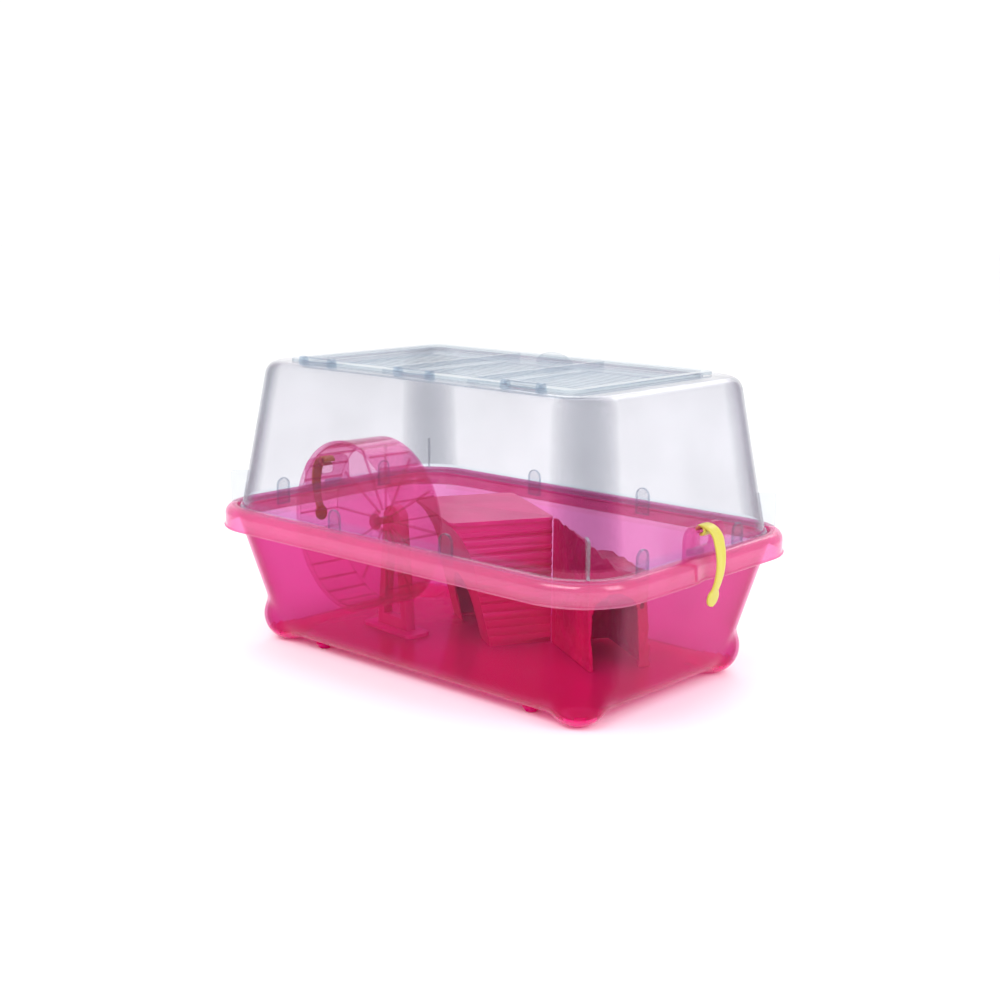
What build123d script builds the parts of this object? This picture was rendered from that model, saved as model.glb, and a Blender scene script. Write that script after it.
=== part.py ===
from build123d import *
import math
import os

# Hamster cage: a translucent tub with a rolled rim, a clear lift-off cover with a slotted roof
# door, two end clips, a running wheel on its stand, and a den, deck and rock cave inside.
# Millimetres. X runs along the cage, -Y is the long front side, +Z is up.
# The origin is on the ground at the middle of the cage.

# Tub and rim
rim_length = 400.0
rim_width = 262.0
rim_corner = 51.0
rim_top = 112.0
rim_skirt = 17.0
rim_overhang = 8.5
rim_roll = 7.0
lip_height = 1.6
lip_step = 1.0
tub_wall = 2.2
tub_draft = 13.5
tub_corner = 42.0
floor_under = 4.0
cove_radius = 22.0
seat_drop = 4.0
seat_thickness = 2.0
pod_radius = 22.0
pod_inset = 17.0
pod_flat = 1.0
foot_radius = 7.0
foot_spacing = 216.0

# Clear cover
cover_gap = 0.6
cover_bead = 1.4
cover_bead_height = 3.0
cover_wall = 1.8
cover_rise = 117.0
cover_draw_in = 18.0
cover_tighten = 6.0
cover_shoulder = 11.0
fin_height = 25.5
fin_reach = 8.0
fin_thickness = 2.0
tongue_width = 13.0
tongue_height = 22.0
tongue_spacing = 114.0
catch_width = 16.0

# Roof door and its hinge
door_end_margin = 57.0
door_side_margin = 47.0
door_length = rim_length - 2 * door_end_margin
door_width = rim_width - 2 * door_side_margin
door_corner = 10.0
door_plate = 2.2
door_overlap = 5.0
door_gap = 0.6
door_sink = 4.6
door_panel = 2.2
slot_rows = 14
slot_pitch = 7.0
slot_width = 3.8
slot_centre = 5.0
bay_length = 78.0
bay_pitch = 86.0
rib_thickness = 2.4
hinge_radius = 2.8
hinge_pin_radius = 1.5
hinge_running_gap = 0.06
knuckle_length = 26.0
knuckle_spacing = 103.0
lug_length = 5.0
side_gap = 0.4
tab_width = 36.0
tab_height = 9.0
tab_thickness = 2.4

# End clips and their brackets
clip_width = 10.0
clip_thickness = 3.0
clip_bar_radius = 1.7
clip_running_gap = 0.08
clip_bar_rise = 18.0
clip_bow = 5.5
paddle_radius = 6.5
bracket_width = 48.0
bracket_thickness = 3.0
bracket_window = 14.0

# Wheel and stand
wheel_x = -93.0
wheel_front_y = -70.0
wheel_turn = -6.0
wheel_z = 98.5
wheel_radius = 67.0
wheel_depth = 42.0
wheel_wall = 1.8
rung_count = 28
rung_size = 1.4
spoke_count = 12
hub_radius = 9.0
hub_length = 9.0
axle_radius = 3.0
axle_running_gap = 0.06
stand_gap = 3.0
stand_depth = 9.0
stand_foot_length = 62.0
stand_foot_width = 24.0
stand_foot_height = 3.0
stand_top_radius = 11.0

# Den, deck and rock cave, all turned together on the tub floor
den_turn = -30.0
den_x = 0.0
den_y = -4.0
den_length = 100.0
den_depth = 50.0
den_lean = 12.0
den_flare = 32.0
den_height = 98.0
den_wall = 2.5
door_arch_radius = 26.0
door_arch_spring = 22.0
ridge_pitch = 6.5
ridge_size = 1.0
deck_thickness = 3.0
deck_overhang = 1.5
cave_length = 78.0
cave_depth = 50.0
cave_wall = 3.0
cave_arch_radius = 18.0
cave_arch_spring = 38.0
furniture_clearance = 1.0

lip_bottom = rim_top - rim_skirt
floor_top = floor_under + tub_wall
seat_top = rim_top - seat_drop
draft = math.tan(math.radians(tub_draft))
cover_base = seat_top + 0.3
cover_top = cover_base + cover_rise
cover_corner = tub_corner - tub_wall - cover_gap - cover_bead
corner_signs = [(1, 1), (1, -1), (-1, 1), (-1, -1)]


def tub_half(z):
    """Half length and half width of the tub's outer wall at a height."""
    fall = (rim_top - z) * draft
    return rim_length / 2 - rim_overhang - fall, rim_width / 2 - rim_overhang - fall


def slab(half_x, half_y, corner, z0, z1):
    """A rounded rectangle prism between two heights."""
    face = RectangleRounded(2 * half_x, 2 * half_y, corner)
    return Pos(0, 0, z0) * extrude(face, z1 - z0)


def tub_shape(inset, z0, z1):
    """The tapering tub as a solid, drawn in by an inset, with its floor cove."""
    low_x, low_y = tub_half(z0)
    top_x, top_y = tub_half(z1)
    corner = tub_corner - inset
    low_corner = max(corner - 4, cove_radius - inset + 2)
    low = Pos(0, 0, z0) * RectangleRounded(2 * (low_x - inset), 2 * (low_y - inset), low_corner)
    top = Pos(0, 0, z1) * RectangleRounded(2 * (top_x - inset), 2 * (top_y - inset), corner)
    body = loft([low, top])
    return fillet(body.faces().sort_by(Axis.Z)[0].edges(), cove_radius - inset)


def pod_centres():
    """Centres of the round corner pods, on the tub's floor corners."""
    half_x, half_y = tub_half(floor_under)
    return [(sx * (half_x - pod_inset), sy * (half_y - pod_inset)) for sx, sy in corner_signs]


def rim_shell():
    """The rolled rim: a rounded skirt with a thin lip along its bottom edge."""
    half_x = rim_length / 2 - lip_step
    half_y = rim_width / 2 - lip_step
    corner = rim_corner - lip_step
    skirt = slab(half_x, half_y, corner, lip_bottom, rim_top)
    skirt = fillet(skirt.faces().sort_by(Axis.Z)[-1].edges(), rim_roll)
    lip = slab(rim_length / 2, rim_width / 2, rim_corner, lip_bottom, lip_bottom + lip_height)
    under_top = rim_top - tub_wall
    under = slab(half_x - tub_wall, half_y - tub_wall, corner - tub_wall, lip_bottom - 1, under_top)
    under = fillet(under.faces().sort_by(Axis.Z)[-1].edges(), rim_roll - tub_wall)
    return skirt + lip - under


def clip_bar_x():
    """Distance of a clip's pivot bar from the middle of the cage."""
    ring = clip_bar_radius + clip_running_gap + clip_thickness * 0.85
    return tub_half(seat_top)[0] - tub_wall - cover_gap + ring + cover_gap


def clip_bracket(side):
    """The upright bracket on the rim at one end, with the bar that carries the clip."""
    bar_x = side * clip_bar_x()
    bar_z = rim_top + clip_bar_rise
    top = bar_z + clip_bar_radius + 2.3
    plate_height = top - rim_top + rim_roll
    face = RectangleRounded(bracket_width, 2 * plate_height, 9)
    plate = Pos(bar_x, 0, rim_top - rim_roll) * (Rot(90, 90, 0) * extrude(face, bracket_thickness / 2, both=True))
    below = Pos(bar_x, 0, rim_top - rim_roll - 25) * Box(20, bracket_width + 4, 50 + 2 * (rim_roll - 2))
    window_height = clip_bar_rise + 12
    window = Pos(bar_x, 0, rim_top + 7 + window_height / 2) * Box(20, bracket_window, window_height)
    bar = Pos(bar_x, 0, bar_z) * (Rot(90, 0, 0) * Cylinder(clip_bar_radius, bracket_window + 4))
    return plate - below - window + bar


def base_tub():
    """The tub with its rim, cover seat, corner pods, small feet and clip brackets."""
    tub = tub_shape(0, floor_under, rim_top) + rim_shell()
    pod_z = pod_radius - pod_flat
    for x, y in pod_centres():
        tub += Pos(x, y, pod_z) * Sphere(pod_radius)
    foot_y = tub_half(floor_under)[1] - cove_radius * 0.72
    for sx, sy in corner_signs:
        tub += Pos(sx * foot_spacing / 2, sy * foot_y, foot_radius) * Sphere(foot_radius)
    tub -= tub_shape(tub_wall, floor_top, rim_top + 6)
    for x, y in pod_centres():
        tub -= Pos(x, y, pod_z) * Sphere(pod_radius - tub_wall)
    tub -= Pos(0, 0, -pod_radius) * Box(2 * rim_length, 2 * rim_width, 2 * pod_radius)
    seat_x, seat_y = tub_half(seat_top)
    seat_x -= tub_wall
    seat_y -= tub_wall
    inner = cover_gap + cover_bead + cover_wall + 0.1
    corner = tub_corner - tub_wall
    seat = slab(seat_x + 0.8, seat_y + 0.8, corner, seat_top - seat_thickness, seat_top)
    seat -= slab(seat_x - inner, seat_y - inner, corner - inner, seat_top - seat_thickness - 1, seat_top + 1)
    tub += seat
    for side in (-1, 1):
        tub += clip_bracket(side)
    return tub


def cover_base_half():
    """Half length and half width of the cover's outer wall at its bottom edge."""
    half_x, half_y = tub_half(seat_top)
    inward = tub_wall + cover_gap + cover_bead
    return half_x - inward, half_y - inward


def cover_shape(inset, z1):
    """The tapering cover as a solid, drawn in by an inset, with its rounded shoulder."""
    half_x, half_y = cover_base_half()
    low = Pos(0, 0, cover_base) * RectangleRounded(
        2 * (half_x - inset), 2 * (half_y - inset), cover_corner - inset)
    top_x = half_x - cover_draw_in - inset
    top_y = half_y - cover_draw_in - inset
    top = Pos(0, 0, z1) * RectangleRounded(2 * top_x, 2 * top_y, cover_corner - cover_tighten - inset)
    body = loft([low, top])
    return fillet(body.faces().sort_by(Axis.Z)[-1].edges(), cover_shoulder - inset)


def guide_tongue():
    """An arch-topped tongue that guides the cover down inside the rim; thickness along X."""
    body_height = tongue_height - tongue_width / 2
    body = Pos(0, 0, body_height / 2) * Box(2.0, tongue_width, body_height)
    arch = Pos(0, 0, body_height) * (Rot(0, 90, 0) * Cylinder(tongue_width / 2, 2.0))
    return body + arch


def hinge_y():
    """Where the roof door's hinge line runs."""
    return -(door_width / 2 + hinge_radius + 0.6)


def hinge_z():
    """Height of the roof door's hinge line."""
    return cover_top + hinge_radius + 0.5


def hinge_lugs():
    """The cover's bored lugs on both sides of each door knuckle."""
    lugs = None
    for k in (-1, 0, 1):
        for side in (-1, 1):
            x = k * knuckle_spacing + side * (knuckle_length / 2 + side_gap + lug_length / 2)
            post_height = hinge_z() - cover_top + 1
            post = Pos(x, hinge_y(), cover_top - 1 + post_height / 2) * Box(
                lug_length, 2 * hinge_radius, post_height)
            barrel = Pos(x, hinge_y(), hinge_z()) * (Rot(0, 90, 0) * Cylinder(hinge_radius, lug_length))
            lugs = post + barrel if lugs is None else lugs + post + barrel
    bore = Pos(0, hinge_y(), hinge_z()) * (
        Rot(0, 90, 0) * Cylinder(hinge_pin_radius + hinge_running_gap, cover_rise * 4))
    return lugs - bore


def top_cover():
    """The clear cover with its bead, corner fins, guide tongues, door opening and hinge lugs."""
    half_x, half_y = cover_base_half()
    cover = cover_shape(0, cover_top)
    bead_top = cover_base + cover_bead_height
    cover += slab(half_x + cover_bead, half_y + cover_bead, cover_corner + cover_bead, cover_base, bead_top)
    cover -= cover_shape(cover_wall, cover_top - cover_wall)
    open_x = door_length / 2 - door_overlap
    open_y = door_width / 2 - door_overlap
    cover -= slab(open_x, open_y, door_corner - 3, cover_top - 15, cover_top + 5)
    fin_low = rim_top + 0.6
    for sx, sy in corner_signs:
        turn = math.degrees(math.atan2(sy, sx))
        corner_x = sx * (half_x - cover_corner)
        corner_y = sy * (half_y - cover_corner)
        reach = cover_corner + fin_reach
        root = cover_corner - 3.2
        fin = Pos((reach + root) / 2, 0, 0) * Box(reach - root, fin_thickness, fin_height)
        cover += Pos(corner_x, corner_y, fin_low + fin_height / 2) * (Rot(0, 0, turn) * fin)
    tongue_z = cover_base - 6
    inner_x = half_x - cover_wall - 0.7 - 1.0
    inner_y = half_y - cover_wall - 0.7 - 1.0
    for sx, sy in corner_signs:
        cover += Pos(sx * inner_x, sy * tongue_spacing / 2, tongue_z) * guide_tongue()
        cover += Pos(sx * tongue_spacing / 2, sy * inner_y, tongue_z) * (Rot(0, 0, 90) * guide_tongue())
    for side in (-1, 1):
        catch_x = side * (half_x + cover_bead - 2.2)
        cover += Pos(catch_x, 0, bead_top + 2) * Box(4.4, catch_width, 4)
    return cover + hinge_lugs()


def roof_door():
    """The slotted door with its raised border, cross ribs, finger tab and hinge pins."""
    plate_low = cover_top + 0.3
    plate_top = plate_low + door_plate
    panel_low = cover_top - door_sink
    wall_x = door_length / 2 - door_overlap - door_gap
    wall_y = door_width / 2 - door_overlap - door_gap
    door = slab(door_length / 2, door_width / 2, door_corner, plate_low, plate_top)
    door += slab(wall_x, wall_y, door_corner - 3.6, panel_low, plate_low)
    panel_top = panel_low + door_panel
    door -= slab(wall_x - 2, wall_y - 2, door_corner - 5.6, panel_top, plate_top + 1)
    slot = SlotOverall(bay_length, slot_width)
    first_row = slot_centre - slot_pitch * (slot_rows - 1) / 2
    places = [(bay * bay_pitch, first_row + row * slot_pitch) for bay in (-1, 0, 1) for row in range(slot_rows)]
    cutter = Sketch() + [Pos(x, y) * slot for x, y in places]
    door -= Pos(0, 0, panel_low - 1) * extrude(cutter, door_panel + 2)
    for side in (-1, 1):
        rib_height = plate_top - panel_top
        door += Pos(side * bay_pitch / 2, 0, panel_top + rib_height / 2) * Box(
            rib_thickness, 2 * wall_y - 3, rib_height)
    tab_y = wall_y - 9
    tab_round = Pos(0, tab_y, panel_top) * (
        Rot(90, 0, 0) * extrude(Ellipse(tab_width / 2, tab_height), tab_thickness / 2, both=True))
    door += tab_round & (Pos(0, tab_y, panel_top + tab_height / 2) * Box(tab_width, 8, tab_height))
    for k in (-1, 0, 1):
        x = k * knuckle_spacing
        barrel = Rot(0, 90, 0) * Cylinder(hinge_radius, knuckle_length)
        pin = Rot(0, 90, 0) * Cylinder(hinge_pin_radius, knuckle_length + 2 * (side_gap + lug_length) + 1)
        leaf_depth = hinge_radius + 4
        leaf_y = hinge_y() + leaf_depth / 2
        leaf = Pos(x, leaf_y, (plate_low + plate_top) / 2) * Box(knuckle_length, leaf_depth, door_plate)
        door += Pos(x, hinge_y(), hinge_z()) * (barrel + pin) + leaf
    return door


def end_clip(side):
    """A bowed strap clip that curls round its bracket bar and ends in a round paddle."""
    bar_x = clip_bar_x()
    bar_z = rim_top + clip_bar_rise
    ring_in = clip_bar_radius + clip_running_gap
    ring_out = ring_in + clip_thickness * 0.85
    out_x = rim_length / 2 + clip_bow + clip_thickness / 2
    curl = Circle(ring_out) - Circle(ring_in)
    mouth = Polygon((0, 0), (-9, -1.5), (-9, -9), (-1.5, -9), align=None)
    curl = curl - mouth
    start = (bar_x, bar_z + (ring_in + ring_out) / 2)
    waist = (out_x, lip_bottom + 10)
    tuck = (rim_length / 2 + clip_thickness / 2 + 0.6, lip_bottom - 8)
    upper = JernArc(start, (1, 0), 12.5, -80)
    lower = ThreePointArc(upper @ 1, waist, tuck)
    strap = trace(Sketch() + [upper, lower], clip_thickness * 0.85)
    outline = Pos(bar_x, bar_z) * curl + strap
    solid = Rot(90, 0, 0) * extrude(outline, clip_width / 2, both=True)
    paddle = Pos(tuck[0], 0, tuck[1] - paddle_radius * 0.55) * (
        Rot(0, 90, 0) * Cylinder(paddle_radius, clip_thickness))
    clip = solid + paddle
    return clip if side > 0 else mirror(clip, Plane.YZ)


def wheel_place(y):
    """A place on the wheel's axis, y measured along it, with the local Z axis towards the front."""
    return Pos(wheel_x, wheel_front_y, wheel_z) * Rot(0, 0, wheel_turn) * Pos(0, y, 0) * Rot(90, 0, 0)


def wheel_drum():
    """The open drum with its front ring and the rungs inside."""
    length = wheel_depth - wheel_wall
    tube = Circle(wheel_radius) - Circle(wheel_radius - wheel_wall)
    drum = extrude(tube, length)
    ring = Circle(wheel_radius + 0.6) - Circle(wheel_radius - 3.4)
    drum += Pos(0, 0, length - 2.4) * extrude(ring, 2.4)
    inner = wheel_radius - wheel_wall - rung_size / 2 + 0.3
    for k in range(rung_count):
        rung = Pos(inner, 0, length / 2) * Box(rung_size, rung_size, length - 1)
        drum += Rot(0, 0, 360 / rung_count * k) * rung
    return wheel_place(wheel_depth - wheel_wall) * drum


def wheel_back():
    """The ribbed back disc with its bored hub."""
    disc = extrude(Circle(wheel_radius), wheel_wall)
    disc += extrude(Circle(hub_radius), wheel_wall + hub_length)
    for k in range(spoke_count):
        rib_length = wheel_radius - wheel_wall - rung_size - hub_radius - 1
        rib = Pos(hub_radius + rib_length / 2 - 0.5, 0, wheel_wall + 0.6) * Box(rib_length, 1.6, 1.4)
        disc += Rot(0, 0, 360 / spoke_count * k) * rib
    bore = extrude(Circle(axle_radius + axle_running_gap), 4 * hub_length, both=True)
    return wheel_place(wheel_depth) * (disc - bore)


def stand_front():
    """How far behind the wheel's front the face of the stand is."""
    return wheel_depth + stand_gap


def wheel_axle():
    """The plain pin that the wheel turns on, seated in the stand."""
    front = wheel_depth - wheel_wall - hub_length - 1.2
    length = stand_front() + stand_depth - front
    return wheel_place(stand_front() + stand_depth) * extrude(Circle(axle_radius), length)


def axle_cap():
    """The stepped knob that keeps the wheel on its pin."""
    front = wheel_depth - wheel_wall - hub_length - 1.2
    knob = extrude(Circle(hub_radius - 2), 2.4)
    knob += extrude(Circle(hub_radius - 4.5), 4.4)
    return wheel_place(front) * knob


def wheel_stand():
    """The tapering upright behind the wheel."""
    foot_top = floor_top + stand_foot_height
    half_foot = stand_foot_length / 2 - 12
    column = Polygon(
        (-half_foot, foot_top - wheel_z),
        (half_foot, foot_top - wheel_z),
        (stand_top_radius * 0.94, 3),
        (-stand_top_radius * 0.94, 3),
        align=None,
    )
    window = Polygon(
        (-half_foot + 8, foot_top - wheel_z + 9),
        (half_foot - 8, foot_top - wheel_z + 9),
        (4.5, -20),
        (-4.5, -20),
        align=None,
    )
    plate = column + Circle(stand_top_radius) - window - Circle(axle_radius)
    return wheel_place(stand_front() + stand_depth) * extrude(plate, stand_depth)


def stand_foot():
    """The foot plate under the wheel stand."""
    middle = stand_front() + stand_depth / 2
    foot = extrude(RectangleRounded(stand_foot_length, stand_foot_width, 6), stand_foot_height)
    return Pos(wheel_x, wheel_front_y, floor_top) * Rot(0, 0, wheel_turn) * Pos(0, middle, 0) * foot


def den_place():
    """The den's own axes: X across to the cave, Y deeper into the tub."""
    return Pos(den_x, den_y, 0) * Rot(0, 0, den_turn)


def keep_in():
    """The free space inside the tub for the pieces that stand on its floor."""
    return tub_shape(tub_wall + furniture_clearance, floor_top, rim_top)


def den_outline(inset):
    """Side outline of the den, leaning out and flaring under the deck; X is depth, Y is height."""
    top = floor_top + den_height - inset
    foot = (inset, floor_top - (5 if inset else 0))
    waist = (inset - den_lean, floor_top + den_height * 0.5)
    eave = (inset - den_flare, top)
    front_low = Line(foot, waist)
    front_high = ThreePointArc(waist, (inset - den_lean - 6, floor_top + den_height * 0.78), eave)
    roof = Line(eave, (den_depth - inset, top))
    back = Line((den_depth - inset, top), (den_depth - inset, foot[1]))
    bottom = Line((den_depth - inset, foot[1]), foot)
    return make_face([front_low, front_high, roof, back, bottom])


def along_den(face, start, length):
    """Extrude a den outline sideways, from a start and over a length."""
    return Pos(start, 0, 0) * (Rot(90, 90, 0) * extrude(face, length))


def den_body():
    """The hollow den with its arched doorway and the ridged side."""
    body = along_den(den_outline(0), -den_length, den_length)
    body -= along_den(den_outline(den_wall), -den_length + den_wall, den_length - 2 * den_wall)
    arch = Circle(door_arch_radius) + Pos(0, -door_arch_spring) * Rectangle(
        2 * door_arch_radius, 2 * door_arch_spring)
    arch_cut = Rot(90, 0, 0) * extrude(arch, den_depth / 2 + 20, both=True)
    body -= Pos(-den_length / 2, -20, floor_top + door_arch_spring) * arch_cut
    skin = along_den(den_outline(0), -0.4, ridge_size + 0.4)
    ridges = None
    rows = int((den_height - 6) / ridge_pitch)
    for row in range(rows):
        z = floor_top + 6 + row * ridge_pitch
        bar = Pos(0, 0, z) * Box(6, 2 * den_depth + 2 * den_flare, ridge_pitch * 0.62)
        ridges = bar if ridges is None else ridges + bar
    body += skin & ridges
    return (den_place() * body) & keep_in()


def deck():
    """The flat deck on top of the den."""
    top = floor_top + den_height
    length = den_length + 2 * deck_overhang
    depth = den_depth + den_flare + 2 * deck_overhang
    plate = extrude(RectangleRounded(length, depth, 5), deck_thickness)
    plate = Pos(-den_length / 2, (den_depth - den_flare) / 2, top) * plate
    return (den_place() * plate) & keep_in()


def rock_outline(shrink):
    """Jagged outline of the cave along its length; X is length, Y is height."""
    low = floor_top - (5 if shrink else 0)
    peak = floor_top + den_height + deck_thickness
    crags = [
        (0, 0), (0.14, 1.5), (0.24, -1), (0.34, 0.5), (0.45, -2), (0.55, -0.5),
        (0.66, -3.5), (0.75, -3), (0.86, -7), (0.94, -6.5), (1.0, -20), (0.97, -55),
    ]
    points = [(shrink, low)]
    for share, drop in crags:
        x = min(max(share * cave_length, shrink), cave_length - shrink)
        points.append((x, peak + drop - 1.6 * shrink))
    points.append((cave_length + 3 - shrink, low))
    return make_face(Polyline(*points, close=True))


def cave_roof(shrink):
    """The space under the cave's roof, which falls in steps away from the den's side."""
    peak = floor_top + den_height + deck_thickness + 2 - shrink
    drops = [(0, 0), (0.12, -9), (0.24, -18), (0.3, -17), (0.44, -27), (0.52, -26), (0.72, -30), (1.0, -31)]
    points = [(-1, -1), (-1, peak)]
    points += [(share * cave_depth, peak + drop) for share, drop in drops]
    points += [(cave_depth + 1, peak - 31), (cave_depth + 1, -1)]
    face = make_face(Polyline(*points, close=True))
    return Pos(-1, den_depth, 0) * (Rot(90, 90, 0) * extrude(face, cave_length + 10))


def rock_cave():
    """The hollow rock cave beside the den, with its arched mouth at the far end."""
    side_gap_to_den = ridge_size + 1.0
    place = Pos(side_gap_to_den, den_depth, 0) * Rot(90, 0, 0)
    body = (place * extrude(rock_outline(0), -cave_depth)) & cave_roof(0)
    hollow = place * (Pos(0, 0, -cave_wall) * extrude(rock_outline(cave_wall), -(cave_depth - 2 * cave_wall)))
    hollow = hollow & cave_roof(cave_wall)
    mouth = Rot(90, 90, 0) * extrude(
        Circle(cave_arch_radius) + Pos(0, -20) * Rectangle(2 * cave_arch_radius, 40), 40)
    mouth = Pos(cave_length - 25, den_depth + cave_depth / 2 - 3, floor_top + cave_arch_spring) * mouth
    return (den_place() * (body - hollow - mouth)) & keep_in()


def write(name, shape):
    """Write one node as STEP."""
    export_step(shape, os.path.join("parts", name + ".step"))


os.makedirs("parts", exist_ok=True)
write("base_tub", base_tub())
write("top_cover", top_cover())
write("roof_door", roof_door())
write("right_clip", end_clip(1))
write("left_clip", end_clip(-1))
write("wheel_drum", wheel_drum())
write("wheel_back", wheel_back())
write("wheel_axle", wheel_axle())
write("axle_cap", axle_cap())
write("wheel_stand", wheel_stand())
write("stand_foot", stand_foot())
write("den_body", den_body())
write("deck", deck())
write("rock_cave", rock_cave())
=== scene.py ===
import bmesh
import bpy
import math
from mathutils import Matrix, Vector, noise


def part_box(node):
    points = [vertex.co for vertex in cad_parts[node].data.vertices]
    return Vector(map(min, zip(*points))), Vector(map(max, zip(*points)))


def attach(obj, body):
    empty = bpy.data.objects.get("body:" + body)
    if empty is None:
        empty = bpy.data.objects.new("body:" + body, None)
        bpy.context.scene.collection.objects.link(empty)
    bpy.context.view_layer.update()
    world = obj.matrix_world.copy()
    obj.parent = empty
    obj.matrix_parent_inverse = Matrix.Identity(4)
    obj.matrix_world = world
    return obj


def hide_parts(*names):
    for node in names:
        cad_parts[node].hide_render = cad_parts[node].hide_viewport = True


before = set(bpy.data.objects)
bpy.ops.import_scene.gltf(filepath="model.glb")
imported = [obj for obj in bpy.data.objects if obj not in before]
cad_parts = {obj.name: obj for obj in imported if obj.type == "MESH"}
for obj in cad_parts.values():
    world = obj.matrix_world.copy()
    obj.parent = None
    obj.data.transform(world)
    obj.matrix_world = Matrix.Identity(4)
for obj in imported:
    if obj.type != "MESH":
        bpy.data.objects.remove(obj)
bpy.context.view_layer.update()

# Camera
# A short telephoto view from off the front right corner, about a metre from the cage's middle and
# a little above it, leaning by half a degree.
camera_data = bpy.data.cameras.new("camera")
camera_data.lens = 52.9
camera_data.clip_end = 30
camera = bpy.data.objects.new("camera", camera_data)
bpy.context.scene.collection.objects.link(camera)
azimuth, elevation, lean = math.radians(41.73), math.radians(11.59), math.radians(0.456)
backward = Vector((
    math.sin(azimuth) * math.cos(elevation),
    -math.cos(azimuth) * math.cos(elevation),
    math.sin(elevation),
))
level = Vector((math.cos(azimuth), math.sin(azimuth), 0))
facing = Matrix((level, backward.cross(level), backward)).transposed()
camera.location = (0.7402, -0.8239, 0.3500)
camera.rotation_euler = (facing @ Matrix.Rotation(lean, 3, "Z")).to_euler()
bpy.context.scene.camera = camera

# Base tub
# One injection moulding in see-through pink plastic: a tapering tub with a coved floor, round
# corner pods and small feet to stand on, and a rolled rim with a thin lip along its lower edge.
# An upright bracket at each end of the rim carries the bar that a clip swings on.
rim_half = Vector((0.2, 0.131))
RIM_TOP, RIM_CORNER, LIP_BOTTOM = 0.112, 0.051, 0.095
TUB_WALL, OVERHANG, DRAFT = 0.0022, 0.0085, math.tan(math.radians(13.5))
TUB_CORNER, TUB_LOW_CORNER, FLOOR_UNDER, COVE = 0.042, 0.038, 0.004, 0.022
POD_RADIUS, POD_INSET = 0.022, 0.017
POD_REACH, FLOOR_FINISH_TOP = 0.048, 0.009
BAR_X, BAR_Z = 0.19267, 0.130
BRACKET_THICKNESS, BRACKET_HALF_WIDTH, BRACKET_LOW, BRACKET_TOP = 0.003, 0.024, 0.1104, 0.134
FOOT_SPOT = Vector((0.108, 0.0807))
RIM_FINISH, FLOOR_FINISH, BRACKET_FINISH = 1, 2, 3
corner_steps = sorted({k / 24 for k in range(24)} | {0.43, 0.445, 0.46, 0.48, 0.52, 0.54, 0.555, 0.57})


def rounded_ring(half_x, half_y, corner, z, long_steps=56, short_steps=36):
    """One closed loop of points round a rounded rectangle at a height, closer near the corners."""
    corner = max(min(corner, half_x * 0.98, half_y * 0.98), 0.0005)
    spots = [
        (half_x - corner, half_y - corner, 0, long_steps),
        (corner - half_x, half_y - corner, 90, short_steps),
        (corner - half_x, corner - half_y, 180, long_steps),
        (half_x - corner, corner - half_y, 270, short_steps),
    ]
    points = []
    for index, (cx, cy, start, along) in enumerate(spots):
        for share in corner_steps:
            angle = math.radians(start + 90 * share)
            points.append(Vector((cx + corner * math.cos(angle), cy + corner * math.sin(angle), z)))
        angle = math.radians(start + 90)
        reach = Vector((corner * math.cos(angle), corner * math.sin(angle), z))
        next_x, next_y = spots[(index + 1) % 4][:2]
        for k in range(along):
            share = 0.55 * (0.5 - 0.5 * math.cos(math.pi * k / along)) + 0.45 * k / along
            points.append(reach + Vector((cx, cy, 0)).lerp(Vector((next_x, next_y, 0)), share))
    return points


def skin_rings(bm, rings, closed=False, material=0):
    """Join point loops into a skin, capped at both ends or closed on itself."""
    loops = [[bm.verts.new(p) for p in ring] for ring in rings]
    count = len(loops[0])
    pairs = list(zip(loops, loops[1:])) + ([(loops[-1], loops[0])] if closed else [])
    for low, high in pairs:
        for k in range(count):
            face = bm.faces.new((low[k], low[(k + 1) % count], high[(k + 1) % count], high[k]))
            face.material_index = material
    if not closed:
        for loop in (loops[0], loops[-1]):
            bm.faces.new(loop).material_index = material


def arc(cx, cz, radius, start, end, steps):
    """Points of an arc in a profile's plane, angles in degrees."""
    angles = [math.radians(start + (end - start) * k / steps) for k in range(steps + 1)]
    return [(cx + radius * math.cos(a), cz + radius * math.sin(a)) for a in angles]


def plate(bm, outline, thickness, place, bevel=0.0004, holes=(), material=0):
    """A flat moulded plate cut to an outline, with softened edges, put where a matrix says."""
    curve = bpy.data.curves.new("outline", "CURVE")
    curve.dimensions = "2D"
    curve.fill_mode = "BOTH"
    for loop in [outline, *holes]:
        line = curve.splines.new("POLY")
        line.points.add(len(loop) - 1)
        for point, (x, y) in zip(line.points, loop):
            point.co = (x, y, 0, 1)
        line.use_cyclic_u = True
    curve.extrude = thickness / 2 - bevel
    curve.bevel_depth = bevel
    curve.bevel_resolution = 2
    curve.offset = -bevel
    cutter = bpy.data.objects.new("outline", curve)
    mesh = bpy.data.meshes.new_from_object(cutter)
    part = bmesh.new()
    part.from_mesh(mesh)
    bmesh.ops.remove_doubles(part, verts=part.verts, dist=1e-6)
    bmesh.ops.recalc_face_normals(part, faces=part.faces)
    bmesh.ops.transform(part, matrix=place, verts=part.verts)
    for face in part.faces:
        face.material_index = material
    part.to_mesh(mesh)
    part.free()
    bm.from_mesh(mesh)
    bpy.data.objects.remove(cutter)
    bpy.data.curves.remove(curve)
    bpy.data.meshes.remove(mesh)


def lathe(bm, profile, place, segments=48, closed=False, material=0):
    """A turned shape: a profile of radius and height swept round the local Z axis."""
    rings = []
    for radius, height in profile:
        angles = [2 * math.pi * k / segments for k in range(segments)]
        ring = [(radius * math.cos(a), radius * math.sin(a), height) for a in angles]
        rings.append([place @ Vector(point) for point in ring])
    skin_rings(bm, rings, closed, material)


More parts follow.
